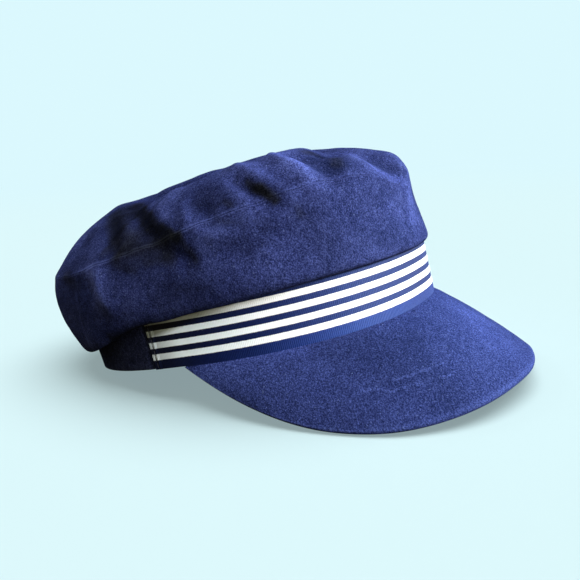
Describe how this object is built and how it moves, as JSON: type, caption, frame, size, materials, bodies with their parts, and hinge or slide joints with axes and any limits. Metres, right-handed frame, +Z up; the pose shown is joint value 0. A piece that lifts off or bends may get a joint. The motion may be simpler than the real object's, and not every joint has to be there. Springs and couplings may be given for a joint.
{
  "type": "sailor cap",
  "caption": "Soft suede sailor cap with a full low crown, a plain band, a striped ribbon round its front and a stiff rounded peak, hollow for a head.",
  "frame": {"origin": "middle of the bounding box of the cap, on the surface that it lies on", "axes": "+Z up, -Y towards the peak at the front, -X towards the wearer's right"},
  "size_m": [0.1858, 0.2814, 0.1234],
  "materials": {
    "suede": "soft napped navy suede",
    "dark_suede": "soft napped navy suede, shaded",
    "striped_ribbon": "ribbed woven ribbon"
  },
  "bodies": {
    "root": {"crown_top": "suede", "crown_front": "suede", "crown_back": "suede", "band": "dark_suede", "ribbon": "striped_ribbon", "peak_top": "suede", "peak_under": "dark_suede"}
  },
  "joints": []
}
